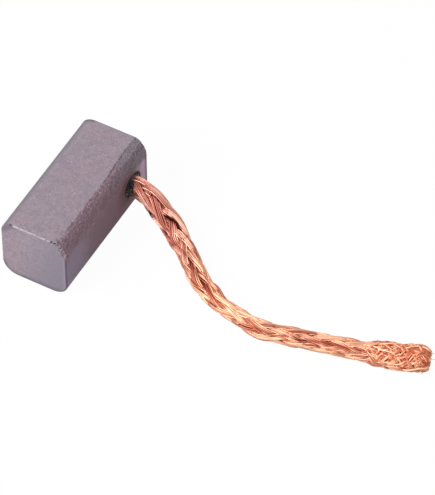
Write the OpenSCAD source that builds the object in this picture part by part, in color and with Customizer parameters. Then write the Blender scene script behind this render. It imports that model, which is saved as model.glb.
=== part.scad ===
// Carbon brush: a pressed copper-graphite block with a bare copper pigtail
// tamped into a blind bore in its side.
//
// The block lies on its flat underside. X runs across it, with the pigtail
// leaving the +X side, Y runs along it from the contact face (-Y) to the spring
// end (+Y), and Z is up. The origin is the middle of the block's underside.
// All sizes are in millimetres.

/* [Block] */
// Width of the block across the brush holder
block_w = 8; // [6:0.1:12]
// Height of the block across the brush holder
block_h = 8; // [6:0.1:12]
// Length of the block from the contact face to the spring end
block_l = 17.4; // [12:0.1:30]
// Radius of the long edge above the side that has no pigtail
top_edge_r = 1.6; // [0.5:0.1:2]
// Radius of the long edge below the side that has no pigtail
far_edge_r = 1.8; // [0.5:0.1:2]
// Radius of the long edge below the pigtail side
near_edge_r = 1.7; // [0.5:0.1:2]
// How far the pressed band reaches in over the top face
band_in = 1.14; // [0.8:0.02:1.6]
// How far the pressed band reaches down the pigtail side
band_down = 2.06; // [1.6:0.02:2.4]
// Width of the broken edge round each end face
end_break = 0.12; // [0.05:0.01:0.3]

/* [Tamped joint] */
// Diameter of the blind bore
bore_d = 3; // [2.6:0.1:3.6]
// Depth of the bore's straight wall below the side face
bore_depth = 5; // [3:0.1:5.5]
// Point angle of the drill that made the bore
drill_angle = 118; // [90:1:140]
// Distance from the spring end to the bore's axis
bore_from_end = 3.2; // [2.4:0.1:6]
// Gap between the cut end of the buried wire and the end of the straight wall
wire_end_gap = 0.4; // [0.2:0.1:1]
// How far the compound climbs the wire outside the block
collar_h = 0.6; // [0.2:0.1:0.8]
// Thickness of the compound round the wire at the collar's lip
collar_lip = 0.1; // [0.05:0.01:0.15]

/* [Pigtail] */
// Diameter of the braided wire
wire_d = 2.2; // [1.6:0.1:2.7]
// Diameter of the loosened wire at its cut end
tail_d = 3; // [2.7:0.1:3.4]
// Length over which the cut end has come loose
tail_l = 7; // [4:0.5:9]
// Length over which the wire opens out to the loosened end
tail_opening_l = 2.5; // [1.5:0.5:4]

/* [Hidden] */

edge_facets = 64;
bore_facets = 96;
wire_sides = 8;
overrun = 1;

side_x = block_w / 2;
bore_y = block_l / 2 - bore_from_end;
bore_z = block_h / 2;
end_y = block_l / 2 - end_break;
bore_r = bore_d / 2;
wire_r = wire_d / 2;
tail_r = tail_d / 2;
point_h = bore_r / tan(drill_angle / 2);
wire_start_x = side_x - bore_depth + wire_end_gap;
wire_lift = bore_z - wire_r;
straight_out = collar_h + 0.2;

// The band is one arc that ends upright on the side face and meets the top
// face at a crisp corner.
band_r = (band_in * band_in + band_down * band_down) / (2 * band_in);

// The pigtail's way down to the bench and along it: distance out from the
// block's side, distance along the block from the bore's axis, and height of
// the wire's underside above the bench as a share of its height at the bore.
ROUTE = [
    [1.6, -0.2, 0.97], [2.7, -0.5, 0.87], [3.7, -0.9, 0.71], [4.7, -1.2, 0.52],
    [5.7, -1.5, 0.33], [6.7, -2.1, 0.16], [7.7, -2.8, 0.05], [8.9, -3.6, 0],
    [10, -4.8, 0], [11.2, -5.7, 0], [12.4, -6.6, 0], [13.7, -7.2, 0],
    [15, -7.9, 0], [16.5, -8.2, 0], [18, -8.4, 0], [19.5, -8.9, 0],
    [21, -9, 0], [22.4, -8.5, 0], [23.9, -8.2, 0], [25.9, -7.7, 0],
    [28.4, -7.1, 0], [31, -6.5, 0], [33.6, -6, 0], [36, -5.2, 0],
    [38.6, -4.1, 0]
];

// ---- helpers ----

function smooth(t) =
    let (k = min(max(t, 0), 1))
    k * k * (3 - 2 * k);

function unit(v) = v / norm(v);

// Lengths run along a list of points, from its start to each point
function runs(points, i = 0, done = 0) =
    i == len(points) - 1
        ? [done]
        : concat([done], runs(points, i + 1, done + norm(points[i + 1] - points[i])));

// What a rounded edge removes from the corner at the origin of quadrant I
module edge_waste(r) {
    difference() {
        translate([-overrun, -overrun])
            square(r + overrun);
        translate([r, r])
            circle(r, $fn = edge_facets);
    }
}

// ---- block ----

module block_section() {
    difference() {
        translate([-side_x, 0])
            square([block_w, block_h]);
        translate([-side_x, 0])
            edge_waste(far_edge_r);
        translate([side_x, 0])
            mirror([1, 0])
                edge_waste(near_edge_r);
        translate([-side_x, block_h])
            mirror([0, 1])
                edge_waste(top_edge_r);
        band_waste();
    }
}

// What the pressed band removes from the corner above the pigtail side
module band_waste() {
    difference() {
        translate([side_x - band_in, block_h - band_down])
            square([band_in + overrun, band_down + overrun]);
        translate([side_x - band_r, block_h - band_down])
            circle(band_r, $fn = 4 * edge_facets);
    }
}

// The block's section between its broken end edges
module block_body() {
    translate([0, end_y, 0])
        rotate([90, 0, 0])
            linear_extrude(2 * end_y)
                block_section();
}

// The last slice before the contact face, drawn in by the broken edge
module broken_end() {
    translate([0, -end_y, bore_z])
        rotate([90, 0, 0])
            linear_extrude(end_break, scale = [1 - 2 * end_break / block_w, 1 - 2 * end_break / block_h])
                translate([0, -bore_z])
                    block_section();
}

module bore() {
    translate([side_x - bore_depth, bore_y, bore_z])
        rotate([0, 90, 0]) {
            cylinder(h = bore_depth + overrun, r = bore_r, $fn = bore_facets);
            translate([0, 0, -point_h])
                cylinder(h = point_h, r1 = 0, r2 = bore_r, $fn = bore_facets);
        }
}

module brush_block() {
    color([0.59, 0.53, 0.57])
        difference() {
            union() {
                block_body();
                broken_end();
                mirror([0, 1, 0])
                    broken_end();
            }
            bore();
        }
}

// ---- tamped joint ----

// Half-section of the compound: the drill point, the bore's wall and a collar
// that curves in to the wire
module plug_profile() {
    lip_r = wire_r + collar_lip;
    collar_arc = [for (a = [0 : 10 : 90])
        [lip_r + (bore_r - lip_r) * cos(a), bore_depth + collar_h * sin(a)]];
    polygon(concat([[0, -point_h], [bore_r, 0]], collar_arc, [[0, bore_depth + collar_h]]));
}

module tamping_plug() {
    color([0.07, 0.07, 0.08])
        translate([side_x - bore_depth, bore_y, bore_z])
            rotate([0, 90, 0])
                difference() {
                    rotate_extrude($fn = bore_facets)
                        plug_profile();
                    translate([0, 0, wire_end_gap])
                        cylinder(h = bore_depth + collar_h, r = wire_r, $fn = wire_sides);
                }
}

// ---- pigtail ----

// The wire's underside: the buried stretch, the straight stretch through the
// collar, then the route
function wire_line() = concat(
    [[wire_start_x, bore_y, wire_lift]],
    [[side_x + straight_out, bore_y, wire_lift]],
    [for (p = ROUTE) [side_x + p[0], bore_y + p[1], wire_lift * p[2]]]
);

// Radius of the wire where it has run for a length s out of its whole length
function wire_radius(s, whole) =
    wire_r + (tail_r - wire_r) * smooth((s - whole + tail_l) / tail_opening_l);

// Direction of the wire at point i; it leaves the bore square to the side face
function heading(line, i) =
    i < 2 ? [1, 0, 0] : unit(line[min(i + 1, len(line) - 1)] - line[i - 1]);

function ring(centre, dir, r) =
    let (side = unit(cross(dir, [0, 0, 1])), top = cross(side, dir))
    [for (j = [0 : wire_sides - 1])
        let (a = j * 360 / wire_sides)
        centre + r * (cos(a) * side + sin(a) * top)];

module pigtail() {
    line = wire_line();
    run = runs(line);
    count = len(line);
    radii = [for (s = run) wire_radius(s, run[count - 1])];
    rings = [for (i = [0 : count - 1])
        each ring(line[i] + [0, 0, radii[i]], heading(line, i), radii[i])];
    sides = [for (i = [0 : count - 2], j = [0 : wire_sides - 1])
        let (a = i * wire_sides + j, b = i * wire_sides + (j + 1) % wire_sides)
        each [[a, b, b + wire_sides], [a, b + wire_sides, a + wire_sides]]];
    start_cap = [[for (j = [wire_sides - 1 : -1 : 0]) j]];
    end_cap = [[for (j = [0 : wire_sides - 1]) (count - 1) * wire_sides + j]];
    color([0.80, 0.46, 0.33])
        polyhedron(points = rings, faces = concat(start_cap, sides, end_cap));
}

brush_block();
tamping_plug();
pigtail();
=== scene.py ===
# %% [markdown]
# # A carbon brush and its braided pigtail
#
# A carbon brush carries current to the turning part of a motor. This one is
# a small bar of pressed copper and graphite powder, with a braid of fine
# copper wires held in a hole in its side. The sizes come from the frame, the
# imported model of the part. The looks are added here: a worn pressed surface,
# a lump of black compound round the hole, and a braid made wire by wire.

# %% Load the frame
import math
import random

import bmesh
import bpy
import numpy as np
from mathutils import Matrix, Vector, noise


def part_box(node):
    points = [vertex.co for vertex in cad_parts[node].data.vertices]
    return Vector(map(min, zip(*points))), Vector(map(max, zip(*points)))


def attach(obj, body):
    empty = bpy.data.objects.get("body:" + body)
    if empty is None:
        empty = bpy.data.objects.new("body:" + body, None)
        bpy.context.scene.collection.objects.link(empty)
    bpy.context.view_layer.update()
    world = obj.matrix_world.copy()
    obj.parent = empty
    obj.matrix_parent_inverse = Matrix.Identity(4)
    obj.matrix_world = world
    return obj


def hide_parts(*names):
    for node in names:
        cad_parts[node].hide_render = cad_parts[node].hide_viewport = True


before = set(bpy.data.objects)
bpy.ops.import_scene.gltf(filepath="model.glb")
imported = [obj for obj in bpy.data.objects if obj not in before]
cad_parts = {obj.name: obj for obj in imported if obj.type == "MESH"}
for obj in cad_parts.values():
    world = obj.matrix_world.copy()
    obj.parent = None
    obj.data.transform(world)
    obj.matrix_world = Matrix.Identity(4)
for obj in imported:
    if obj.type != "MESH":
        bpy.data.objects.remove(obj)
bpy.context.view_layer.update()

# %% [markdown]
# ## Sizes
#
# Blender works in metres here, and a brush is small, so the sizes below are
# written in millimetres and turned into metres at the end. Most of them are
# read from the frame: the block's box gives its width, height and length,
# and the plug's box gives the bore, because the plug fills it.

# %% Read the sizes of the block and the bore
MM = 0.001

block_low, block_high = (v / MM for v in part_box("brush_block"))
plug_low, plug_high = (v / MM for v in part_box("tamping_plug"))
side_x = block_high.x
block_h = block_high.z
front_y, rear_y = block_low.y, block_high.y
bore = Vector((side_x, (plug_low.y + plug_high.y) / 2, (plug_low.z + plug_high.z) / 2))
bore_d = plug_high.y - plug_low.y
print(f"block {2 * side_x:.1f} x {rear_y - front_y:.1f} x {block_h:.1f} mm, bore {bore_d:.1f} mm")

# %% [markdown]
# ## The camera
#
# The brush is seen from above and from its front right, with a long lens, so
# its edges stay nearly parallel. The camera is placed by its direction and
# distance from a point on the bench near the middle of the picture.

# %% Place the camera
AIM = Vector((14.64, 5.16, 0))
CAMERA_DISTANCE = 466.2
AZIMUTH, ELEVATION, ROLL = map(math.radians, (29.468, 49.439, -0.389))
LENS = 314.33
SENSOR = 36


def new_object(name, data):
    """An object in the scene that shows this mesh or curve, or is this camera or lamp."""
    made = bpy.data.objects.new(name, data)
    bpy.context.scene.collection.objects.link(made)
    return made


ahead = Vector((
    -math.sin(AZIMUTH) * math.cos(ELEVATION),
    math.cos(AZIMUTH) * math.cos(ELEVATION),
    -math.sin(ELEVATION),
))
level = Vector((math.cos(AZIMUTH), math.sin(AZIMUTH), 0))
across = level * math.cos(ROLL) + level.cross(ahead) * math.sin(ROLL)

camera = new_object("camera", bpy.data.cameras.new("camera"))
camera.data.lens = LENS
camera.data.sensor_width = SENSOR
camera.data.clip_start, camera.data.clip_end = 0.01, 10
turn = Matrix((across, across.cross(ahead), -ahead)).transposed()
camera.matrix_world = Matrix.Translation((AIM - ahead * CAMERA_DISTANCE) * MM) @ turn.to_4x4()
bpy.context.scene.camera = camera
print("camera at", [round(v, 4) for v in camera.matrix_world.translation])

# %% [markdown]
# ## The pigtail's line
#
# A braid is limp, so its shape is set by the way it lies: straight out of
# the bore, down to the bench, and along the bench in one slack curve. The
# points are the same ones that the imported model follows. Each gives the
# distance out from the block's side, the distance along the block from the
# bore, and the height of the braid's underside as a share of its height at
# the bore. A cubic B-spline through such a list gives one smooth line.

# %% List the points of the pigtail's line
ROUTE = [
    (1.6, -0.2, 0.97), (2.7, -0.5, 0.87), (3.7, -0.9, 0.71), (4.7, -1.2, 0.52),
    (5.7, -1.5, 0.33), (6.7, -2.1, 0.16), (7.7, -2.8, 0.05), (8.9, -3.6, 0),
    (10, -4.8, 0), (11.2, -5.7, 0), (12.4, -6.6, 0), (13.7, -7.2, 0),
    (15, -7.9, 0), (16.5, -8.2, 0), (18, -8.4, 0), (19.5, -8.9, 0),
    (21, -9, 0), (22.4, -8.5, 0), (23.9, -8.2, 0), (25.9, -7.7, 0),
    (28.4, -7.1, 0), (31, -6.5, 0), (33.6, -6, 0), (36, -5.2, 0),
    (38.6, -4.1, 0),
]
WIRE_R = 1.1
BURIED = 1.4
ON_BENCH_FROM = 9
STEP = 0.21
FINE_STEPS = 40

wire_lift = bore.z - WIRE_R
knots = [(-BURIED, 0, 1), (0, 0, 1), (0.8, 0, 1)] + ROUTE

# %% [markdown]
# The braid is not equally thick all along. It is slack and fat where it
# leaves the compound, drawn thin where it was pulled, and loose at the cut
# end. A short list of shares of its nominal thickness describes that.

# %% Describe how thick the braid is along its length
GIRTH = [
    (-2, 1.06), (0, 1.10), (3, 1.17), (5, 1.20), (7.5, 1.18), (9.7, 1.04), (11.5, 1.09),
    (13.5, 1.05), (16, 1.03), (18, 0.90), (19.8, 0.83), (21.5, 0.91), (23.6, 1.03),
    (25.6, 0.94), (27.5, 1.01), (28.8, 0.97), (32, 1.01), (34.6, 1.04), (36.2, 1.24),
    (37.6, 1.36), (38.9, 1.31), (40.6, 1.36), (42.4, 1.20),
]


def eased(t):
    """0 below 0, 1 above 1, and a smooth rise between."""
    k = min(max(t, 0.0), 1.0)
    return k * k * (3 - 2 * k)


def girth(s):
    """The braid's thickness at a distance s out from the block, as a share of the nominal one."""
    for (s0, g0), (s1, g1) in zip(GIRTH, GIRTH[1:]):
        if s <= s1:
            return g0 + (g1 - g0) * eased((s - s0) / (s1 - s0))
    return GIRTH[-1][1]


# %% Draw a smooth line through the points
def spline_point(points, t):
    """A point on the uniform cubic B-spline of these points, t running from 0 to the last index."""
    i = min(int(t), len(points) - 2)
    u = t - i
    before = points[i - 1] if i > 0 else 2 * points[0] - points[1]
    after = points[i + 2] if i + 2 < len(points) else 2 * points[-1] - points[-2]
    return (
        before * (1 - u) ** 3
        + points[i] * (3 * u**3 - 6 * u**2 + 4)
        + points[i + 1] * (-3 * u**3 + 3 * u**2 + 3 * u + 1)
        + after * u**3
    ) / 6


def even_line(points, step):
    """The spline of these points, resampled at an even step."""
    count = FINE_STEPS * (len(points) - 1) + 1
    fine = [spline_point(points, t / FINE_STEPS) for t in range(count)]
    run = np.cumsum([0] + [(b - a).length for a, b in zip(fine, fine[1:])])
    even = np.linspace(0, run[-1], round(run[-1] / step) + 1)
    along = [np.interp(even, run, values) for values in zip(*fine)]
    return [Vector(p) for p in zip(*along)]


underside = [Vector((side_x + out, bore.y + along, wire_lift * share)) for out, along, share in knots]
line = even_line(underside, STEP)
runs = [i * STEP - BURIED for i in range(len(line))]
rises = [WIRE_R * (girth(s) if s > ON_BENCH_FROM else 1) for s in runs]
line = [p + Vector((0, 0, rise)) for p, rise in zip(line, rises)]

# %% [markdown]
# A wire in the braid is placed by an angle and a distance from the middle
# line, so each point of the line needs a direction ahead and two directions
# across. Carrying the same "up" from point to point, and only tilting it as
# the line bends, keeps the braid from twisting.

# %% Give each point of the line its directions
def carried_frames(points):
    """(ahead, side, up) at each point, with up carried along so that it does not spin."""
    frames = []
    up = Vector((0, 0, 1))
    for i in range(len(points)):
        heading = (points[min(i + 1, len(points) - 1)] - points[max(i - 1, 0)]).normalized()
        side = heading.cross(up).normalized()
        up = side.cross(heading)
        frames.append((heading, side, up.copy()))
    return frames


frames = carried_frames(line)
print(len(line), "points carry the braid")

# %% [markdown]
# ## Wires from curves
#
# A fine wire is a curve with a round bevel. A braid needs over a hundred of
# them, so they are splines of one curve, which is then made a mesh. Each
# point of a wire keeps a number in an attribute called tone, from tarnished
# at 0 to fresh at 1 with painted light and shade added to it, and the copper
# reads it, so that neighbouring wires differ in brightness and the hollows
# of the braid are darker with painted shade.

# %% Make a mesh of many wires
SIDES = 6
SEAM = 0.0001


def close_seams(mesh, distance):
    """Merges doubled points and turns every face outwards."""
    bm = bmesh.new()
    bm.from_mesh(mesh)
    bmesh.ops.remove_doubles(bm, verts=bm.verts, dist=distance)
    bmesh.ops.recalc_face_normals(bm, faces=bm.faces)
    bm.to_mesh(mesh)
    bm.free()


def smooth_shading(mesh):
    mesh.polygons.foreach_set("use_smooth", [True] * len(mesh.polygons))


def finished_mesh(drawn):
    """A mesh of an object as it is seen, with its bevel or its modifiers worked out."""
    bpy.context.view_layer.update()
    graph = bpy.context.evaluated_depsgraph_get()
    return bpy.data.meshes.new_from_object(drawn.evaluated_get(graph))


def wires_mesh(name, wires, radius, tones):
    """One piece of round wires: a list of points in millimetres and a list of tones for each."""
    curve = bpy.data.curves.new(name, "CURVE")
    curve.dimensions = "3D"
    curve.bevel_depth = radius * MM
    curve.bevel_resolution = 1
    curve.use_fill_caps = True
    for points in wires:
        spline = curve.splines.new("POLY")
        spline.points.add(len(points) - 1)
        spline.points.foreach_set("co", [c for p in points for c in (*(p * MM), 1)])
    drawn = new_object(name, curve)
    mesh = finished_mesh(drawn)
    bpy.data.objects.remove(drawn)
    on_caps = np.concatenate([np.repeat((values[0], values[-1]), SIDES) for values in tones[::-1]])
    on_sides = np.repeat(np.concatenate(tones), SIDES)
    tone = mesh.attributes.new("tone", "FLOAT", "POINT")
    tone.data.foreach_set("value", np.concatenate([on_caps, on_sides]))
    close_seams(mesh, SEAM * MM)
    smooth_shading(mesh)
    mesh.name = name
    triangles = sum(len(f.vertices) - 2 for f in mesh.polygons)
    print(f"{name}: {len(wires)} wires, {triangles} triangles")
    return new_object(name, mesh)


# %% [markdown]
# ## The braid
#
# Sixteen bundles make the braid, eight winding to the right and eight to the
# left. Every bundle passes over two of the others and then under two, and
# its neighbour does the same a little further on, which gives the rows of
# slanted Vs along the braid. The count of crossings met so far drives
# everything: it turns a bundle round the middle line, and a wave of the same
# count sets how far out the bundle runs. The two lays have opposite waves,
# so where they cross one is always outside the other.

# %% Set the braid's pattern
BUNDLES = 8
PITCH = 25.6
PATTERN_START = 1.6
PATTERN_TURN = math.radians(-6)
WAVE = 0.13
SQUARENESS = 2.2
THREAD_R = 0.084
CROWN = 0.07
END_LOOSE = 7.5
MIDDLE_R = WIRE_R - WAVE - CROWN - THREAD_R
whole = runs[-1]


def looseness(s):
    """0 on the tight braid, rising to 1 towards the cut end."""
    return eased((s - (whole - END_LOOSE)) / (0.6 * END_LOOSE))


def wander(s, period, seed, other_seed=0):
    """Smooth noise along the braid, about -1 to 1, that repeats for the same seeds."""
    return 2 * noise.noise(Vector((s / period, 11.7 * seed + 0.31, 11.7 * other_seed + 0.31)))


# %% [markdown]
# Near the block the braid was pushed back and stands open. There the
# bundles that wind to the left turn faster where they lie on top, and those
# that wind to the right run nearly straight. On the right side the straight
# ones have sprung over everything, and on the front the others have, so the
# two part along a line like combed hair. The right side and the left edge of
# the front are paler than the rest as painted light, and the front is a
# little darker as painted shade.

# %% Turn the bundles and set their heights
OPEN_TO, OPEN_FADE = 10, 4
OPEN_TURNS = {1: (-0.11, 104.5), -1: (0.20, 59.5)}
OPEN_SHIFTS = {1: -4, -1: 9}
# How far out each side reaches, then where it begins, rises, ends and falls in degrees
RIGHT_SIDE = (9, 84, 12, 190, 15)
FRONT_SIDE = (7.5, 8, 12, 88, 12)
LIT_LEFT_EDGE = (5.2, 2, 10, 48, 18)
SIDE_FADE = 1.5


def on_side(part, s, degrees):
    """1 on that side of the open braid and 0 off it, with soft borders."""
    reach, first, rise, last, fall = part
    here = eased((reach - s) / SIDE_FADE)
    return here * eased((degrees - first) / rise) * eased((last - degrees) / fall)


def bundle_place(s, lay, bundle):
    """A bundle's angle at s, its height from -1 under the others to 1 over them, and its paleness, which
    is painted light.
    """
    crossings = 2 * bundle + lay * 2 * BUNDLES * (s - PATTERN_START) / PITCH
    open_here = eased((OPEN_TO - s) / OPEN_FADE)
    angle = 2 * math.pi * crossings / (2 * BUNDLES) + PATTERN_TURN
    angle += math.radians(OPEN_SHIFTS[lay]) * open_here
    wave = math.cos(math.pi / 2 * (crossings - 0.5))
    height = lay * math.tanh(SQUARENESS * wave) / math.tanh(SQUARENESS)
    amount, middle = OPEN_TURNS[lay]
    angle += amount * open_here * math.sin(4 * (angle - math.radians(middle)))
    degrees = (math.degrees(angle) + 90) % 360 - 90
    right, front, left = (on_side(part, s, degrees) for part in (RIGHT_SIDE, FRONT_SIDE, LIT_LEFT_EDGE))
    height += (lay - height) * right
    height += (-lay - height) * front
    # Painted light on the right side and the left edge, painted shade on the front.
    return angle, height, right - 0.5 * front + 1.1 * left


# %% [markdown]
# Each bundle is a flat ribbon: five wires across the top in a low crown, and
# three below them. The wires of a real bundle never lie evenly, so the ribbon
# and every wire in it drift sideways and up and down by a few hundredths of
# a millimetre.

# %% Lay the wires of a bundle
TOP_SEATS = (-0.33, -0.165, 0, 0.165, 0.33)
LOW_SEATS = (-0.25, 0, 0.25)
HALF_RIBBON = 0.4
ROW_APART = 0.14
WIRE_SEATS = [(seat, CROWN * (1 - (seat / HALF_RIBBON) ** 2)) for seat in TOP_SEATS]
WIRE_SEATS += [(seat, CROWN - ROW_APART) for seat in LOW_SEATS]
print(f"each bundle has {len(WIRE_SEATS)} wires, so the braid has {2 * BUNDLES * len(WIRE_SEATS)}")

# %% [markdown]
# Dark slots open along the edges of some bundles, and further on the braid
# was squeezed, so that a shallow valley runs down it. Each groove is a line
# on the surface, from one distance and angle to another, with half its width
# in degrees and its depth. The wires dip into it, and painted shade makes
# them dark there. Two bundles have sprung up beside their slots.

# %% Describe the grooves and the sprung bundles
GROOVES = [
    (-0.4, 94, 1.3, 98, 5, 0.26), (1.4, 98, 2.3, 79, 4, 0.14), (2.4, 76, 3.0, 87, 5, 0.31),
    (3.0, 87, 4.3, 94, 5, 0.28), (4.3, 94, 5.2, 84, 8, 0.17), (5.2, 70, 5.7, 83, 6, 0.42),
    (5.7, 83, 6.6, 94, 10, 0.52), (6.2, 90, 7.6, 97, 8, 0.48), (8.1, 74, 9.4, 77, 4, 0.20),
    (9.9, 48, 11.2, 58, 7, 0.15), (10.6, 66, 11.8, 74, 11, 0.14), (11.8, 74, 13.3, 70, 10, 0.17),
    (13.3, 70, 16.0, 61, 12, 0.17), (16.0, 61, 19.0, 58, 10, 0.16), (13.3, 82, 14.2, 94, 4, 0.20),
    (14.7, 98, 15.8, 102, 5, 0.22), (13.7, 8, 16.0, 28, 5, 0.30), (16.9, 0, 18.0, 18, 6, 0.24),
    (3.6, -11, 4.7, -2, 14, 0.28), (6.2, -12, 7.1, -4, 13, 0.26), (7.9, -10, 8.6, 4, 12, 0.28),
    (10.8, -8, 13.0, 0, 13, 0.24), (20.9, 72, 22.4, 96, 5, 0.24), (21.5, 8, 22.9, 28, 5, 0.32),
    (23.0, 45, 23.9, 34, 4, 0.20), (24.8, 84, 25.3, 82, 6, 0.20), (24.7, 20, 26.7, 38, 10, 0.19),
    (27.3, 44, 28.9, 6, 6, 0.20), (28.4, 34, 30.2, 40, 13, 0.15), (28.6, 10, 30.2, 14, 7, 0.20),
    (28.6, 80, 29.2, 76, 6, 0.16), (30.3, 50, 33.5, 44, 12, 0.17), (31.2, 40, 32.4, 50, 5, 0.20),
    (33.5, 46, 35.2, 50, 8, 0.15), (35.2, 50, 37.6, 44, 10, 0.19), (31.0, 3, 32.5, 10, 9, 0.18),
    (33.8, 0, 35.6, 16, 6, 0.22),
]
GROOVE_MARGIN = 0.25
GROOVE_FADE = 0.4
# The lay and the bundle, the middle of the sprung stretch, its rise and its shift
SPRUNG = [(1, 2, 3.2, 0.05, 0.03), (1, 1, 6.5, 0.10, 0.05)]
SPRUNG_REACH = 2.4


def groove_depth(s, angle):
    """How far the braid is pressed in at a place, in millimetres."""
    depth = 0
    for first_s, first_angle, last_s, last_angle, half_width, its_depth in GROOVES:
        entered, left = s - first_s + GROOVE_MARGIN, last_s + GROOVE_MARGIN - s
        if entered <= 0 or left <= 0:
            continue
        near = eased(entered / GROOVE_FADE) * eased(left / GROOVE_FADE)
        share = min(max((s - first_s) / (last_s - first_s), 0), 1)
        middle = first_angle + (last_angle - first_angle) * share
        turned = (math.degrees(angle) - middle + 180) % 360 - 180
        depth = max(depth, its_depth * near * math.exp(-((turned / half_width) ** 2)))
    return depth


def sprung(s, lay, bundle):
    """(raise, shift) in millimetres of a bundle that has sprung out of the braid."""
    raised = shifted = 0
    for its_lay, its_bundle, middle, lift, shift in SPRUNG:
        if (its_lay, its_bundle) == (lay, bundle):
            near = eased(1 - abs(s - middle) / SPRUNG_REACH)
            raised, shifted = raised + lift * near, shifted + shift * near
    return raised, shifted


# %% Place a wire of the braid
SLACK_TO, SLACK_FADE = 10, 7
RIBBON_DRIFT, RIBBON_LIFT = 0.08, 0.035
WIRE_DRIFT, WIRE_LIFT = 0.032, 0.020
LOOSE_RIBBON_DRIFT, LOOSE_WIRE_DRIFT, LOOSE_LIFT = 0.24, 0.26, 0.16
PUSHED_IN = 0.8
SPRUNG_PUSHED_IN = 0.32
END_CLOSING, CLOSES_BEFORE_END, CLOSES_OVER = 0.30, 0.8, 0.9


def around(i, angle, reach):
    """The place at an angle and a distance from the i-th point of the line."""
    _, side, up = frames[i]
    return line[i] + (side * math.cos(angle) + up * math.sin(angle)) * reach


def on_bench(place, radius):
    """The place, raised where a wire of that radius would pass through the bench."""
    place.z = max(place.z, radius)
    return place


def braid_point(i, lay, bundle, wire):
    """A wire's place at the i-th point of the line, its height, its paleness as painted light and its
    groove's depth.
    """
    s = runs[i]
    own_seed = wire + 10 * lay
    loose, slack = looseness(s), eased((SLACK_TO - s) / SLACK_FADE)
    angle, height, pale = bundle_place(s, lay, bundle)
    raised, shifted = sprung(s, lay, bundle)
    seat_across, seat_up = WIRE_SEATS[wire]
    across = seat_across * (0.95 + 0.05 * height) * (1 + 0.09 * wander(s, 3.5, lay, bundle) + 0.3 * loose)
    across += WIRE_DRIFT * wander(s, 2.6, bundle + 6, own_seed)
    across += RIBBON_DRIFT * wander(s, 4.0, lay + 5, bundle) * (1 + 0.6 * slack)
    across += loose * LOOSE_RIBBON_DRIFT * wander(s, 2.6, bundle, lay)
    across += loose * LOOSE_WIRE_DRIFT * wander(s, 1.9, bundle, own_seed)
    reach = MIDDLE_R + WAVE * height * (1 - 0.5 * loose) + seat_up * (0.75 + 0.25 * height) + raised
    reach += RIBBON_LIFT * wander(s, 3.0, bundle + 20, lay) * (1 + slack)
    reach += (WIRE_LIFT * (1 + slack) + LOOSE_LIFT * loose) * wander(s, 2.2, wire, bundle + 9 * lay)
    reach = max(reach, 0.12) * girth(s)
    angle += (across * girth(s) + shifted) / max(reach, 0.5)
    pressed = groove_depth(s, angle)
    reach = max(reach - pressed * (SPRUNG_PUSHED_IN if raised > 0.01 else PUSHED_IN), 0.15)
    reach *= 1 - END_CLOSING * eased((s - whole + CLOSES_BEFORE_END) / CLOSES_OVER)
    return on_bench(around(i, angle, reach), THREAD_R), height, pale, pressed


# %% [markdown]
# A wire's tone starts from its bundle's and its own. It drops as painted
# shade in the grooves and where the wire passes under the others. It rises
# as painted light where the braid is pale, and rises where it has come
# loose. Each wire stops at one of a few lengths before the cut end, so that
# the braid thins out into the tangle there.

# %% Make the two lays
WIRE_STOPS = (0.1, 0.3, 1.4, 2.6, 3.4)
EVENED_FROM, EVENED_OVER = 12, 8
GROOVE_SHADE, DEEP_SHADE, DEEP = 3.3, 1.2, 0.24
UNDER_SHADE = 0.14


def wire_tone(s, own, wire, height, pale, pressed):
    evened = 1 - 0.35 * eased((s - EVENED_FROM) / EVENED_OVER)
    # Painted shade: darker in the grooves and where the wire passes under the others.
    painted_shade = GROOVE_SHADE * pressed + DEEP_SHADE * max(pressed - DEEP, 0) + UNDER_SHADE * (1 - height)
    off_middle = max(abs(WIRE_SEATS[wire][0]) - 0.2, 0)
    # Painted light where the braid is pale, less on a bundle's edge wires, and real freshness where it has
    # come loose.
    painted_light_and_fresh = pale * (0.36 - 2.0 * off_middle) + 0.2 * looseness(s)
    return 0.5 + own * evened - painted_shade + painted_light_and_fresh


def braid(name, lay):
    """All the bundles that wind one way."""
    rng = random.Random(40 + lay)
    wires, tones = [], []
    for bundle in range(BUNDLES):
        bundle_tone = rng.uniform(-0.15, 0.15)
        for wire in range(len(WIRE_SEATS)):
            end = len(line) - 1 - round(rng.choice(WIRE_STOPS) / STEP)
            own = bundle_tone + rng.uniform(-0.4, 0.4)
            found = [braid_point(i, lay, bundle, wire) for i in range(end)]
            wires.append([place for place, *_ in found])
            tones.append([wire_tone(s, own, wire, *rest) for s, (_, *rest) in zip(runs, found)])
    return wires_mesh(name, wires, THREAD_R, tones)


right_lay = braid("braid_right_lay", 1)
left_lay = braid("braid_left_lay", -1)

# %% [markdown]
# The braid is hollow, and through its gaps shows a dark bundle of inner
# wires. Seven thick strands twisted together stand for them.

# %% Twist the inner strands
CORE_STRANDS = 7
CORE_R = 0.33
CORE_STRAND_R = 0.19
CORE_PITCH = 14
CORE_TONE = 0.2


def core_point(i, strand):
    angle = 2 * math.pi * (strand / CORE_STRANDS + runs[i] / CORE_PITCH)
    return around(i, angle, CORE_R * girth(runs[i]))


core_end = len(line) - round(END_LOOSE / STEP)
core_wires = [[core_point(i, n) for i in range(core_end)] for n in range(CORE_STRANDS)]
core = wires_mesh("braid_core", core_wires, CORE_STRAND_R, [[CORE_TONE] * core_end] * CORE_STRANDS)

# %% [markdown]
# Where the braid was cut, its wires have sprung apart. They still cling
# together in little locks of three, and each lock winds, crosses its
# neighbours and stops at its own length. The outer locks stop first, which
# rounds the end. They come from inside, so they are fresher than the rest.

# %% Fray the cut end
LOCKS = 66
LOCK_WIRES = 3
LOCK_SPREAD = 0.14
RISE_STEPS = 9
FAN_OVER = 1.3
FRAY_LENGTH = 6.8
FRAY_R = 0.080
UNDER_SKIN = FRAY_R + 0.09


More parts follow.
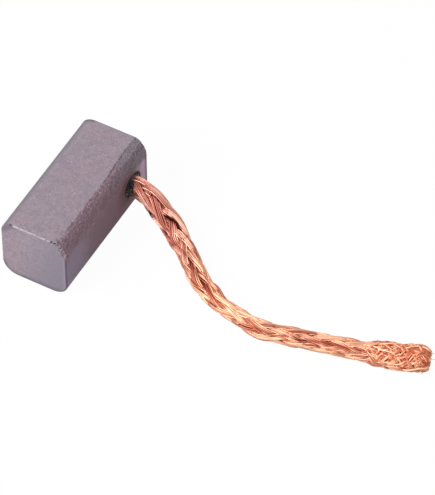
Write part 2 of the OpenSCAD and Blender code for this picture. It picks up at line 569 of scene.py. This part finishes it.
def lock_of_wires(rng):
    """Three loose wires that run together inside the cut end."""
    start_s = whole - rng.uniform(0.22, 1.0) * FRAY_LENGTH
    ring = rng.random() ** 0.35
    longest = start_s + rng.uniform(2.6, 6.0)
    stop_s = min(longest, whole - 0.40 * ring**4 - rng.choice((0, 0, 0.1, 0.25)))
    start, stop = round((start_s + BURIED) / STEP), round((stop_s + BURIED) / STEP)
    angle = rng.uniform(0, 2 * math.pi)
    turn = rng.choice((-1, 1)) * rng.uniform(0.10, 0.50)
    fan = rng.uniform(-0.30, 0.05)
    seed = rng.uniform(0, 50)
    lock = []
    for wire in range(LOCK_WIRES):
        apart = (wire - 1) * LOCK_SPREAD
        points = []
        for i in range(start, stop - rng.randrange(0, 2)):
            s = runs[i]
            here = angle + turn * (s - start_s) + apart
            here += 0.34 * wander(s, 2.0, seed) + 0.05 * wander(s, 1.2, seed, wire)
            rising = 0.62 + 0.38 * eased((i - start) / RISE_STEPS)
            reach = ring * (WIRE_R * girth(s) - UNDER_SKIN) * rising + 0.09 * wander(s, 1.9, seed + 3)
            reach += fan * eased((s - whole + FAN_OVER) / FAN_OVER)
            points.append(on_bench(around(i, here, max(reach, 0.05)), FRAY_R))
        if len(points) > 3:
            lock.append(points)
    return lock


fray_rng = random.Random(7)
fray_wires = [wire for _ in range(LOCKS) for wire in lock_of_wires(fray_rng)]

# %% [markdown]
# Over the locks lie short curls: arches that leave the tangle, lie slanting
# across it and dive back in. They make the frayed end look scaly.

# %% Lay curls over the end
CURLS = 220
CURL_POINTS = 13
CURL_CLEAR_OF_END = 0.3
TWIN_BEHIND, TWIN_TURN = 0.05, 7.5


def surface_point(s, degrees, above):
    """A point on the outside of the cut end."""
    i = min(max(round((s + BURIED) / STEP), 0), len(line) - 1)
    place = around(i, math.radians(degrees), WIRE_R * girth(s) + above)
    return on_bench(place + frames[i][0] * (s - runs[i]), FRAY_R)


curls = []
for _ in range(CURLS):
    middle = whole - fray_rng.uniform(0.7, 6.4)
    degrees = fray_rng.uniform(-60, 240)
    length = fray_rng.uniform(0.8, 1.7)
    sweep = fray_rng.choice((-1, 1)) * fray_rng.uniform(12, 38)
    middle = min(middle, whole - CURL_CLEAR_OF_END - length / 2)
    rise = fray_rng.uniform(0.00, 0.12) - 0.16 * eased((middle - whole + 1.8) / 1.2)
    bow = fray_rng.uniform(-16, 16)
    for twin in range(fray_rng.choice((1, 2, 2))):
        curl = []
        for t in np.linspace(-1, 1, CURL_POINTS):
            above = rise * (1 - t * t) - 0.20 * t**4 - 0.15
            turned = degrees + sweep * t + bow * t * t + TWIN_TURN * twin
            curl.append(surface_point(middle + t * length / 2 + TWIN_BEHIND * twin, turned, above))
        curls.append(curl)

fray_tones = [[fray_rng.uniform(0.20, 0.85)] * len(points) for points in fray_wires]
fray_tones += [[fray_rng.uniform(-0.10, 0.74)] * len(points) for points in curls]
fray_wires += curls
frayed_end = wires_mesh("frayed_end", fray_wires, FRAY_R, fray_tones)

# %% [markdown]
# Some single hairs, thinner than the bundles' wires, stick out of the end.
# Each has a distance back from the end, an angle, a direction and a length.

# %% Add the hairs
HAIR_R = 0.032
HAIR_ROOT = 0.6
HAIR_BEND = Vector((0.1, 0, 0.15))
HAIRS = [
    (0.5, -62, (-0.05, -0.93, -0.05), 0.55),
    (0.4, 104, (0.90, 0.42, 0.05), 0.60),
    (0.4, 50, (0.92, 0.39, 0.02), 0.50),
    (5.7, 118, (-0.55, 0.60, 0.45), 0.30),
    (2.2, 124, (0.75, 0.45, 0.30), 0.45),
]
hair_wires = []
for back, degrees, towards, length in HAIRS:
    root = surface_point(whole - back, degrees, -HAIR_ROOT)
    end = Vector(towards) * (length + HAIR_ROOT)
    hair_wires.append([root + end * t + HAIR_BEND * t * (1 - t) for t in np.linspace(0, 1, 8)])
hair_tones = [[0.5] * len(points) for points in hair_wires]
hairs = wires_mesh("loose_hairs", hair_wires, HAIR_R, hair_tones)

# %% [markdown]
# ## The block
#
# The block is pressed from powder, so its faces are flat but its edges
# crumble. The frame already holds its exact form. A copy of that form is
# given an even skin of small faces by a voxel remesh, and then points of
# the skin are moved to make the crumbled edges. The remesh works in
# millimetres, because a voxel may not be smaller than a tenth of a
# thousandth of a unit.

# %% Copy a frame node with an even skin
def skin_copy(node, name, voxel):
    """A copy of a frame node's mesh, in millimetres, with faces about as wide as voxel."""
    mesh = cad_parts[node].data.copy()
    mesh.materials.clear()
    mesh.transform(Matrix.Scale(1 / MM, 4))
    close_seams(mesh, SEAM)
    piece = new_object(name, mesh)
    remesh = piece.modifiers.new("skin", "REMESH")
    remesh.mode = "VOXEL"
    remesh.voxel_size = voxel
    piece.data = finished_mesh(piece)
    piece.modifiers.clear()
    piece.data.name = name
    print(f"{name}: {len(piece.data.polygons) * 2} triangles")
    return piece


def read_points(mesh):
    """The mesh's points as rows of x, y and z."""
    flat = np.empty(3 * len(mesh.vertices))
    mesh.vertices.foreach_get("co", flat)
    return flat.reshape(-1, 3)


def write_points(mesh, points):
    """Moves the mesh's points to these places, given in millimetres, and smooths its shading."""
    mesh.vertices.foreach_set("co", (points * MM).ravel())
    smooth_shading(mesh)
    mesh.update()


def noise_at(points, size, seed):
    """Smooth noise at each point, about -1 to 1, in lumps of that size."""
    return np.array([2 * noise.noise(Vector(p) / size + Vector((seed, seed, seed))) for p in points])


def eased_all(t):
    k = np.clip(t, 0, 1)
    return k * k * (3 - 2 * k)


VOXEL = 0.092
block = skin_copy("brush_block", "brush_block_pressed", VOXEL)

# %% [markdown]
# One long edge was left rough by the press: above the pigtail a band runs
# from a crisp, crumbling line on the top face down into the side. Its place
# follows the form of the frame: 1.14 mm in over the top, 2.06 mm down the
# side. The skin of the band is roughened in two sizes of lump, and both fade
# out where the band ends. Towards the spring end the press bit a little
# deeper, so the band starts further in there.

# %% Roughen the pressed band
BAND_IN = 1.14
BAND_DOWN = 2.06
WIDER_BY = 0.30
WIDER_FROM = 1.5
WIDER_OVER = 4.0
band_edge_x = side_x - BAND_IN

points = read_points(block.data)
x, y, z = points.T
on_top = eased_all((x - (band_edge_x - 0.05)) / 0.12)
above_foot = eased_all((z - (block_h - BAND_DOWN - 0.9)) / 1.6)
band = on_top * above_foot
rough = band * (0.030 * noise_at(points, 0.30, 1.0) + 0.022 * noise_at(points, 0.15, 5.0))
points += rough[:, None] * np.array((0.75, 0, 0.65))
widened = WIDER_BY * eased_all((y - WIDER_FROM) / WIDER_OVER)
slope = block_h - 0.5 * (points[:, 0] - (band_edge_x - widened))
sloping = (points[:, 0] > band_edge_x - widened) & (z > block_h - 1) & (widened > 0)
points[:, 2] = np.where(sloping, np.minimum(points[:, 2], slope), points[:, 2])
print(f"the rough band covers {band.mean():.0%} of the skin")

# %% [markdown]
# The chips are small hollows strung along the edges. Each has a centre on
# the edge, a width and a depth, and moves the skin inwards most at its
# centre. A few large ones are listed along the front edge, most of them
# where the corner of the band has broken away. The small ones are drawn
# by a seeded generator, so each run makes the same.

# %% Chip the edges
def chip(points, centre, width, depth, inward):
    """Presses a small hollow into the skin."""
    gap = np.linalg.norm(points - np.array(centre), axis=1)
    push = depth * (1 - np.clip(gap / width, 0, 1) ** 2) ** 2
    return points + push[:, None] * np.array(Vector(inward).normalized())


chips = random.Random(21)
# Along the band's line on the top face
for _ in range(26):
    place = (band_edge_x + chips.uniform(-0.06, 0.08), chips.uniform(front_y, rear_y), block_h)
    width = chips.uniform(0.16, 0.34)
    points = chip(points, place, width, width * chips.uniform(0.12, 0.35), (-0.3, 0, -1))
# Along the front edge of the top face
for _ in range(20):
    place = (chips.uniform(block_low.x + 0.9, band_edge_x), front_y, block_h)
    points = chip(points, place, chips.uniform(0.12, 0.2), chips.uniform(0.01, 0.04), (0, 1, -1))
# Down the band's front corner
for _ in range(26):
    down = chips.random()
    place = (band_edge_x + BAND_IN * math.sqrt(down), front_y, block_h - BAND_DOWN * down)
    points = chip(points, place, chips.uniform(0.16, 0.34), chips.uniform(0.05, 0.13), (-0.6, 1, -0.5))

BROKEN_PLACES = [
    (-2.78, 0.06, 0.30, 0.16), (1.66, 0.02, 0.09, 0.04), (2.28, 0.05, 0.27, 0.15),
    (2.68, 0.12, 0.26, 0.16), (3.05, 0.22, 0.24, 0.12), (3.36, 0.52, 0.28, 0.13), (3.60, 0.86, 0.22, 0.10),
]
for along_edge, below, width, depth in BROKEN_PLACES:
    points = chip(points, (along_edge, front_y, block_h - below), width, depth, (0, 1, -0.8))
write_points(block.data, points)
print(len(BROKEN_PLACES), "broken places along the front edge")

# %% [markdown]
# ## The compound
#
# The pigtail is held by powder tamped into the bore and sealed with black
# varnish, which stands out of the bore as a lumpy collar. The collar starts
# as a skin copy of the frame's plug, and lumps are raised on the part of it
# that is outside the block. It is full on the side towards the contact face,
# where the varnish ran, and lower on the others.

# %% Raise lumps on the collar
COLLAR_TURN = 24

collar = skin_copy("tamping_plug", "tamping_collar", 0.07)
points = read_points(collar.data)
out = np.clip((points[:, 0] - side_x + 0.05) / 0.15, 0, 1)
radial = points - np.array(bore)
radial[:, 0] = 0
gap = np.linalg.norm(radial, axis=1)
radial /= np.maximum(gap, 1e-6)[:, None]
full_side = np.array((0, -math.cos(math.radians(COLLAR_TURN)), math.sin(math.radians(COLLAR_TURN))))
fullness = eased_all((radial @ full_side - 0.45) / 0.4)
lumps = 0.07 * noise_at(points, 0.40, 2.0) + 0.05 * noise_at(points, 0.18, 8.0)
lumps = lumps * (0.3 + 0.7 * fullness) - 0.04 * (1 - fullness)
outer = eased_all((gap - WIRE_R - 0.02) / 0.1)
points += (out * outer * lumps)[:, None] * radial
beyond = np.maximum(points[:, 0] - side_x, 0)
points[:, 0] -= beyond * (1 - fullness) * 0.80
points[:, 0] += out * outer * (0.07 * noise_at(points, 0.35, 4.0) - 0.01)
write_points(collar.data, points)
print(f"the collar stands {(points[:, 0].max() - side_x):.2f} mm out of the block")

# %% [markdown]
# ## Materials
#
# Every finish is worked out from the piece's own coordinates in millimetres,
# so grain keeps its real size. A few helpers keep the node trees short: they
# add a node, do sums, and lay one colour over another.

# %% Write the helpers for nodes
def set_inputs(node, **inputs):
    """Gives sockets their values. They are named, with _ for a space, or numbered, as in i0."""
    for key, value in inputs.items():
        numbered = key[0] == "i" and key[1:].isdigit()
        socket = node.inputs[int(key[1:]) if numbered else key.replace("_", " ")]
        if isinstance(value, bpy.types.NodeSocket):
            node.id_data.links.new(value, socket)
        else:
            socket.default_value = (*value, 1) if socket.type == "RGBA" else value


def add_node(kind, settings=(), tree=None, **inputs):
    """Adds a node beside the sockets that it is given, or in the tree that is named."""
    if tree is None:
        tree = next(v.id_data for v in inputs.values() if isinstance(v, bpy.types.NodeSocket))
    node = tree.nodes.new(kind)
    for key, value in dict(settings).items():
        setattr(node, key, value)
    set_inputs(node, **inputs)
    return node


def math_node(operation, *values):
    inputs = {f"i{n}": value for n, value in enumerate(values)}
    return add_node("ShaderNodeMath", {"operation": operation}, **inputs).outputs[0]


def chained(operation):
    """A function that joins any number of values by one operation."""
    def joined(first, *others):
        for other in others:
            first = math_node(operation, first, other)
        return first
    return joined


plus, minus, times = chained("ADD"), chained("SUBTRACT"), chained("MULTIPLY")
largest, smallest = chained("MAXIMUM"), chained("MINIMUM")


def scaled(value, by, shift):
    return math_node("MULTIPLY_ADD", value, by, shift)


def ramp(value, low, high):
    """0 at low and 1 at high, with a soft rise between them. Low may be the greater of the two."""
    smooth = {"interpolation_type": "SMOOTHSTEP"}
    return add_node("ShaderNodeMapRange", smooth, Value=value, From_Min=low, From_Max=high).outputs[0]


def blend_colours(factor, first, second):
    """The first colour where the factor is 0, and the second where it is 1."""
    return add_node("ShaderNodeMix", {"data_type": "RGBA"}, i0=factor, i6=first, i7=second).outputs[2]


def coats(colour, *layers):
    """A colour with others laid over it in turn, each with its mask, its strength and its colour."""
    for mask, strength, coat in layers:
        colour = blend_colours(times(mask, strength), colour, coat)
    return colour


# %% Write the helpers for materials
def start_material(name):
    """A new material, its shader and its place in millimetres."""
    material = bpy.data.materials.new(name)
    material.use_nodes = True
    tree = material.node_tree
    where = add_node("ShaderNodeTexCoord", tree=tree).outputs["Object"]
    place = add_node("ShaderNodeMapping", Vector=where, Scale=(1 / MM, 1 / MM, 1 / MM)).outputs[0]
    return material, tree.nodes["Principled BSDF"], place


def axes(place):
    return add_node("ShaderNodeSeparateXYZ", Vector=place).outputs


def noise_node(place, scale, **inputs):
    node = add_node("ShaderNodeTexNoise", Vector=place, Scale=scale, Detail=2.0, **inputs)
    return node.outputs["Fac"]


def bumps(height, strength, distance):
    """A normal that height makes uneven. The distance is in millimetres."""
    node = add_node("ShaderNodeBump", Height=height, Strength=strength, Distance=distance * MM)
    return node.outputs[0]


def give(piece, material):
    """Puts a finish on a piece."""
    piece.data.materials.append(material)
    print(f"{piece.name}: {material.name}, {len(material.node_tree.nodes)} nodes")


# %% [markdown]
# Pressed powder has three kinds of unevenness: a fine mottle a tenth of a
# millimetre across, soft patches a few millimetres across where the copper
# and graphite mixed unevenly, and single grains that stand out. The block
# and the compound both use that, so it is a node group with its grain sizes
# as inputs.

# %% Build the grain group
def grain_group():
    """Mottle, patches and specks of pressed powder."""
    tree = bpy.data.node_groups.new("pressed_grain", "ShaderNodeTree")
    for name, kind in (("Place", "Vector"), ("Grain", "Float"), ("Patch", "Float")):
        tree.interface.new_socket(name, in_out="INPUT", socket_type="NodeSocket" + kind)
    for name in ("Mottle", "Patches", "Specks"):
        tree.interface.new_socket(name, in_out="OUTPUT", socket_type="NodeSocketFloat")
    given = tree.nodes.new("NodeGroupInput").outputs
    place = given["Place"]
    fine_scale = math_node("DIVIDE", 1.0, given["Grain"])
    patch_scale = math_node("DIVIDE", 1.0, given["Patch"])
    cells = add_node("ShaderNodeTexVoronoi", Vector=place, Scale=fine_scale).outputs
    pick = add_node("ShaderNodeSeparateColor", Color=cells["Color"]).outputs[0]
    near = math_node("LESS_THAN", cells["Distance"], 0.45)
    set_inputs(
        tree.nodes.new("NodeGroupOutput"),
        Mottle=ramp(noise_node(place, fine_scale, Roughness=0.7), 0.3, 0.7),
        Patches=ramp(noise_node(place, patch_scale), 0.35, 0.65),
        Specks=times(ramp(pick, 0.78, 0.90), near),
    )
    print("the grain group has", len(tree.nodes), "nodes")
    return tree


grain = grain_group()


def grain_node(place, size, patch):
    """The mottle, the patches and the specks."""
    return add_node("ShaderNodeGroup", {"node_tree": grain}, Place=place, Grain=size, Patch=patch).outputs


# %% [markdown]
# The block's colours change from place to place, and the places are worked
# out in the material from the coordinates, so that their borders are sharp:
#
# * the rough band, with a ragged border on the top face and a soft foot;
# * the front edge, a thin painted highlight with dark broken places;
# * the long rounded edges and the rims of the end faces, darkened as painted shade;
# * the stain round the bore, nearly black at the rim and red-brown beyond, with a painted shadow in a
#   notch on its upper side.
#
# A ragged border is a distance with noise added to it before it is made a
# mask.

# %% Write the helpers for zones
def between(value, low, high, soft):
    """1 from low to high, with soft borders outside them."""
    return times(ramp(value, low - soft, low), ramp(value, high + soft, high))


def jitter(place, size, amount):
    """Noise from minus to plus the amount, in lumps of that size."""
    fac = noise_node(place, 1 / size, Roughness=0.6)
    return scaled(fac, 2 * amount, -amount)


def distance_from(place, centre):
    settings = {"operation": "DISTANCE"}
    return add_node("ShaderNodeVectorMath", settings, i0=place, i1=centre).outputs["Value"]


def ragged_distance(place, centre, size, amount):
    return plus(distance_from(place, centre), jitter(place, size, amount))


# %% Mark the rough band
def band_zone(place, x, y, z):
    """The rough band, and the dark line along its upper border."""
    wider = times(ramp(y, WIDER_FROM, WIDER_FROM + WIDER_OVER), WIDER_BY)
    edge = plus(x, wider, jitter(place, 0.30, 0.13))
    foot = plus(z, jitter(place, 0.9, 1.2))
    foot_z = block_h - BAND_DOWN
    band = times(
        ramp(edge, band_edge_x - 0.03, band_edge_x + 0.03),
        ramp(foot, foot_z - 0.9, foot_z + 0.5),
        between(y, front_y + 0.16, rear_y - 0.16, 0.06),
    )
    line = times(
        between(edge, band_edge_x - 0.01, band_edge_x + 0.07, 0.05),
        ramp(jitter(place, 1.3, 1), -0.15, 0.25),
        ramp(z, block_h - 0.4, block_h - 0.3),
    )
    return band, line


# %% Mark the edge highlight and the rims, painted light and shade
CORNER_R = 1.7


def inset_from_outline(x, z):
    """How far inside the block's rounded section a point is."""
    beyond = []
    for value, middle, half in ((x, 0, side_x), (z, block_h / 2, block_h / 2)):
        apart = math_node("ABSOLUTE", minus(value, middle))
        beyond.append(minus(apart, half - CORNER_R))
    squares = [math_node("POWER", largest(b, 0.0), 2.0) for b in beyond]
    outside = math_node("SQRT", plus(*squares))
    inside = smallest(largest(*beyond), 0.0)
    return minus(CORNER_R, plus(outside, inside))


def edge_zones(place, x, y, z):
    """The painted highlight along the front edge, the dark broken places, the crumbled corner and the
    painted shade of the rims.
    """
    # Painted highlight: a thin bright line along the front top edge.
    edge_highlight = times(
        ramp(y, front_y + 0.13, front_y + 0.08),
        ramp(z, block_h - 0.14, block_h - 0.08),
        largest(between(x, -2.4, 1.45, 0.1), between(x, 1.80, 2.02, 0.08)),
        ramp(jitter(place, 0.40, 1), -0.45, 0.30),
    )
    dark_places = []
    for along_edge, below, width, depth in BROKEN_PLACES:
        centre = (along_edge, front_y + 0.05, block_h - below)
        gap = ragged_distance(place, centre, 0.12, 0.18)
        dark_places.append(ramp(gap, 0.85 * width, 0.40 * width))
    from_top = minus(block_h, z)
    inside = minus(x, band_edge_x)
    arc = minus(times(from_top, 0.70), inside)
    corner = times(
        ramp(arc, 0.42, 0.12),
        ramp(from_top, 1.8, 1.2),
        ramp(x, 2.3, 2.6),
        ramp(y, front_y + 0.42, front_y + 0.18),
    )
    # Painted shade: dark rims along the outline of both end faces.
    at_front = ramp(y, front_y + 0.20, front_y + 0.17)
    at_rear = ramp(y, rear_y - 0.70, rear_y - 0.34)
    inset = inset_from_outline(x, z)
    low_part = ramp(z, 2.4, 1.4)
    upper_rounding = times(ramp(z, 5.9, 6.9), ramp(x, -2.0, -2.7))
    low_or_round = largest(low_part, upper_rounding)
    wide_rim_shade = times(ramp(inset, 0.95, 0.15), ramp(x, 3.5, 2.7), low_or_round)
    thin_rim_shade = times(ramp(inset, 0.20, 0.10), ramp(x, 2.7, 3.3), ramp(z, 6.6, 5.6))
    rim_shade = times(largest(at_front, at_rear), plus(wide_rim_shade, thin_rim_shade))
    return edge_highlight, largest(*dark_places), corner, rim_shade


# %% Mark the stain round the bore and the painted shadow in its notch
NOTCH_SHADOW = (side_x, bore.y + 1.35, bore.z + 0.60)


def stain_zones(place, x):
    """The red-brown stain, and its black rim with a painted shadow in a notch on the upper side."""
    wide = ragged_distance(place, (side_x, bore.y - 0.75, bore.z + 0.25), 0.7, 0.9)
    from_notch = ragged_distance(place, NOTCH_SHADOW, 0.35, 0.35)
    close = ragged_distance(place, (side_x, bore.y - 0.13, bore.z + 0.14), 0.30, 0.25)
    from_bore = ragged_distance(place, bore, 0.25, 0.16)
    # Painted shadow in the notch between the wire and the top of the bore.
    notch_shadow = times(ramp(from_notch, 1.20, 0.90), between(from_bore, 1.30, 1.62, 0.10))
    halo = times(ramp(wide, 2.2, 1.4), 0.21)
    on_side = ramp(x, side_x - 0.9, side_x - 0.4)
    red = times(on_side, ramp(wide, 2.9, 1.6))
    return red, times(on_side, largest(ramp(close, 1.64, 1.44), notch_shadow, halo))


# %% [markdown]
# The block is a matt mauve grey. The rough band is darker and browner, with
# grains of copper and bright graphite in it, and the pigtail's side has a
# maroon cast that is strongest halfway along. The colours are laid over each
# other like coats of paint, from the wide ones to the small ones.

# %% Finish the block
def copper_graphite():
    material, shader, place = start_material("copper_graphite")
    x, y, z = axes(place)
    mottle, patches, specks = grain_node(place, 0.20, 1.7)
    soft_mottle, wide_patches, _ = grain_node(place, 0.55, 4.0)
    rough_mottle, rough_patches, glints = grain_node(place, 0.12, 0.6)
    band, band_line = band_zone(place, x, y, z)
    edge_highlight, broken, corner, rim_shade = edge_zones(place, x, y, z)
    red_stain, black_stain_and_shadow = stain_zones(place, x)

    off_ends = between(y, front_y + 0.22, rear_y - 0.22, 0.12)
    on_side = ramp(x, side_x - 0.5, side_x - 0.1)
    # Painted shade: the front face darkens towards the right and the bottom.
    falling = ramp(scaled(z, -0.45, x), -4.6, 2.2)
    lower_front_shade = times(falling, ramp(y, front_y + 0.25, front_y + 0.12))
    # Painted shade: the far long rounded edge is darkened.
    far_rounding_shade = times(ramp(x, -2.5, -3.9), off_ends)
    halfway = times(between(y, -2.5, 3.0, 3.6), on_side, off_ends)
    # Painted light: the pigtail's side is lighter above the bore towards the rear end.
    above_bore_light = times(on_side, ramp(y, 5.6, 7.2), off_ends)
    # Painted light: the pigtail's side is lighter and bluer towards the contact face.
    near_contact_light = times(on_side, ramp(y, -3.5, -6.5))
    plain = coats(
        blend_colours(patches, (0.300, 0.245, 0.302), (0.355, 0.248, 0.275)),
        (wide_patches, 1, (0.292, 0.258, 0.312)),
        (mottle, 1, (0.250, 0.203, 0.240)),
        (soft_mottle, 0.6, (0.375, 0.297, 0.340)),
        (specks, 0.45, (0.50, 0.40, 0.44)),
        # Painted shade on the front face and the far rounded edge.
        (lower_front_shade, 0.78, (0.215, 0.196, 0.242)),
        (far_rounding_shade, 0.85, (0.120, 0.118, 0.135)),
        (halfway, 0.70, (0.255, 0.152, 0.195)),
        # Painted light on the pigtail's side, above the bore and near the contact face.
        (above_bore_light, 0.9, (0.84, 0.63, 0.80)),
        (near_contact_light, 0.6, (0.375, 0.285, 0.42)),
    )
    greyed = blend_colours(rough_mottle, (0.150, 0.122, 0.146), (0.36, 0.29, 0.335))
    rusty = coats(
        blend_colours(rough_mottle, (0.175, 0.094, 0.125), (0.56, 0.37, 0.43)),
        (rough_patches, 1, (0.275, 0.180, 0.225)),
        (ramp(y, 0.5, 6.5), 1, greyed),
    )
    crumbs = blend_colours(rough_mottle, (0.045, 0.028, 0.032), (0.50, 0.42, 0.46))
    shine = times(glints, largest(band, corner))
    colour = coats(
        plain,
        (band, 0.85, rusty),
        (band_line, 0.75, (0.075, 0.045, 0.055)),
        (shine, 0.6, (0.60, 0.43, 0.42)),
        (red_stain, 0.44, (0.205, 0.084, 0.086)),
        # Black stain round the bore, and the painted shadow in its notch.
        (black_stain_and_shadow, 0.9, (0.030, 0.014, 0.016)),
        (corner, 0.7, crumbs),
        # Painted shade on the rims of the end faces.
        (rim_shade, 0.62, (0.110, 0.100, 0.120)),
        # Painted highlight along the front edge.
        (edge_highlight, 1, (0.55, 0.50, 0.54)),
        (broken, 1, (0.020, 0.012, 0.016)),
    )
    dull = scaled(mottle, 0.10, 0.58)
    height = scaled(times(rough_mottle, band), 3.0, mottle)
    set_inputs(
        shader,
        Base_Color=colour,
        Metallic=times(shine, 0.3),
        Roughness=scaled(shine, -0.20, dull),
        Specular_IOR_Level=0.2,
        Normal=bumps(height, strength=0.6, distance=0.012),
    )
    return material


give(block, copper_graphite())

# %% [markdown]
# The compound is nearly black and sealed with varnish, so it is dark, glossy
# and uneven: small grains of powder lie just under the gloss. Its outer rim,
# where the varnish ran out over the powder, is brown like the stain.

# %% Finish the compound
def sealed_compound():
    material, shader, place = start_material("tamping_compound")
    mottle, patches, specks = grain_node(place, 0.15, 0.5)
    turned = math.radians(COLLAR_TURN)
    full_centre = (side_x + 0.3, bore.y - 1.35 * math.cos(turned), bore.z + 1.35 * math.sin(turned))
    outside = ramp(ragged_distance(place, full_centre, 0.4, 0.3), 0.90, 1.25)
    at_rim = ramp(distance_from(place, bore), 1.28, 1.40)
    # Painted shadow: the rim is nearly black at the notch above the wire.
    notch_shadow = times(at_rim, ramp(distance_from(place, NOTCH_SHADOW), 1.45, 1.05))
    brown = coats(
        blend_colours(mottle, (0.100, 0.056, 0.063), (0.24, 0.150, 0.170)),
        (notch_shadow, 1, (0.018, 0.010, 0.011)),
    )
    colour = coats(
        blend_colours(mottle, (0.006, 0.005, 0.006), (0.022, 0.018, 0.020)),
        (specks, 1, (0.42, 0.44, 0.50)),
        (outside, 1, brown),
    )
    glossy = scaled(patches, 0.22, 0.22)
    set_inputs(
        shader,
        Base_Color=colour,
        Roughness=scaled(outside, 0.35, glossy),
        Specular_IOR_Level=0.35,
        Normal=bumps(mottle, strength=0.8, distance=0.04),
    )
    return material


give(collar, sealed_compound())

# %% [markdown]
# Bare copper is a metal, so its colour is the colour of its reflections.
# Each wire has its own tone between fresh and tarnished, with painted light
# and shade added in, a soft noise moves that tone along the wire, and below
# 0 it's painted shade in a groove, nearly black. The copper is redder near
# the block, where heat and flux reached it, and the first two millimetres
# are stained by the compound, further on the lower side.

# %% Finish the copper
def copper_wires(name, fresh, dull, tarnish):
    """Bare copper. Tarnish is how much the tone drops near the block."""
    material, shader, place = start_material(name)
    x, _, z = axes(place)
    settings = {"attribute_name": "tone"}
    own = add_node("ShaderNodeAttribute", settings, material.node_tree).outputs["Fac"]
    patch = times(noise_node(place, 0.9), 0.5)
    near_block = ramp(x, 17.0, 8.0)
    tone = plus(own, patch, times(near_block, -tarnish), -0.16)
    pinker = blend_colours(near_block, fresh, (0.92, 0.58, 0.47))
    redder = blend_colours(near_block, dull, (0.50, 0.170, 0.125))
    out = plus(scaled(z, 0.42, x), jitter(place, 0.4, 0.35))
    colour = coats(
        blend_colours(ramp(tone, 0.0, 1.0), redder, pinker),
        # Painted shade: below a tone of 0 the copper goes nearly black.
        (ramp(tone, 0.0, -0.7), 1, (0.060, 0.012, 0.007)),
        (ramp(out, side_x + 2.60, side_x + 2.05), 0.9, (0.10, 0.032, 0.022)),
    )
    roughness = scaled(tone, -0.06, 0.60)
    set_inputs(shader, Base_Color=colour, Roughness=roughness, Metallic=1.0)
    return material


FRESH, DULL = (0.91, 0.55, 0.365), (0.40, 0.105, 0.062)
CUT_FRESH, CUT_DULL = (0.95, 0.53, 0.34), (0.48, 0.125, 0.068)
SHADED_FRESH, SHADED_DULL = (0.34, 0.11, 0.065), (0.16, 0.045, 0.030)
give(right_lay, copper_wires("bare_copper", FRESH, DULL, tarnish=0.14))
give(left_lay, copper_wires("tarnished_copper", FRESH, DULL, tarnish=0.30))
give(frayed_end, copper_wires("cut_copper", CUT_FRESH, CUT_DULL, tarnish=0.0))
give(hairs, frayed_end.data.materials[0])
give(core, copper_wires("shaded_copper", SHADED_FRESH, SHADED_DULL, tarnish=0.0))

# %% [markdown]
# ## Bench and light
#
# The bench and the world are white to the camera and in reflections, and
# quieter as lights, so that the brush is lit at a plain level. The bench
# keeps a faint shadow of it. One large soft lamp from the front left lights
# the top and the end face and leaves the pigtail side in shade.

# %% Build the bench
BENCH_HALF = 1.5
SHADOW_SHARE = 0.03


def seen_directly(tree):
    """1 for rays from the camera, from a reflection or through glass."""
    path = add_node("ShaderNodeLightPath", tree=tree).outputs
    return largest(path["Is Camera Ray"], path["Is Glossy Ray"], path["Is Transmission Ray"])


bm = bmesh.new()
bmesh.ops.create_grid(bm, x_segments=1, y_segments=1, size=BENCH_HALF)
bench_mesh = bpy.data.meshes.new("bench")
bm.to_mesh(bench_mesh)
bm.free()
bench = new_object("bench", bench_mesh)

paper = bpy.data.materials.new("white_bench")
paper.use_nodes = True
tree = paper.node_tree
shaded = add_node("ShaderNodeBsdfDiffuse", tree=tree, Color=(0.62, 0.62, 0.62)).outputs[0]
glow = add_node("ShaderNodeEmission", tree=tree, Color=(1, 1, 1), Strength=1.0).outputs[0]
pale = add_node("ShaderNodeBsdfDiffuse", tree=tree, Color=(0.9, 0.9, 0.9)).outputs[0]
lit = add_node("ShaderNodeMixShader", Fac=SHADOW_SHARE, i1=glow, i2=pale).outputs[0]
both = add_node("ShaderNodeMixShader", Fac=seen_directly(tree), i1=shaded, i2=lit).outputs[0]
set_inputs(tree.nodes["Material Output"], Surface=both)
give(bench, paper)

# %% Light the scene
world = bpy.data.worlds.new("white_room")
bpy.context.scene.world = world
world.use_nodes = True
tree = world.node_tree
strength = scaled(seen_directly(tree), 0.65, 0.35)
set_inputs(tree.nodes["Background"], Strength=strength, Color=(1, 1, 1))


def soft_lamp(name, direction, distance, size, power):
    """A square lamp that faces the brush."""
    lamp = new_object(name, bpy.data.lights.new(name, "AREA"))
    lamp.data.size = size
    lamp.data.energy = power
    towards = Vector(direction).normalized()
    turn = towards.to_track_quat("Z", "Y").to_matrix().to_4x4()
    lamp.matrix_world = Matrix.Translation(towards * distance) @ turn
    print(f"{name}: {power} W over {size} m, {distance} m away")


soft_lamp("front_left", direction=(-0.45, -0.62, 0.75), distance=0.9, size=0.5, power=9)
bpy.context.scene.view_settings.view_transform = "Standard"

# %% [markdown]
# ## Putting the pieces on the body
#
# The pieces ride on the part's one body. The block, the collar and the braid
# take the place of the frame's three nodes, which are hidden.

# %% Place the pieces on the frame
for piece in (block, collar, right_lay, left_lay, core, frayed_end, hairs):
    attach(piece, "root")
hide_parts("brush_block")
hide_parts("tamping_plug")
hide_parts("pigtail")
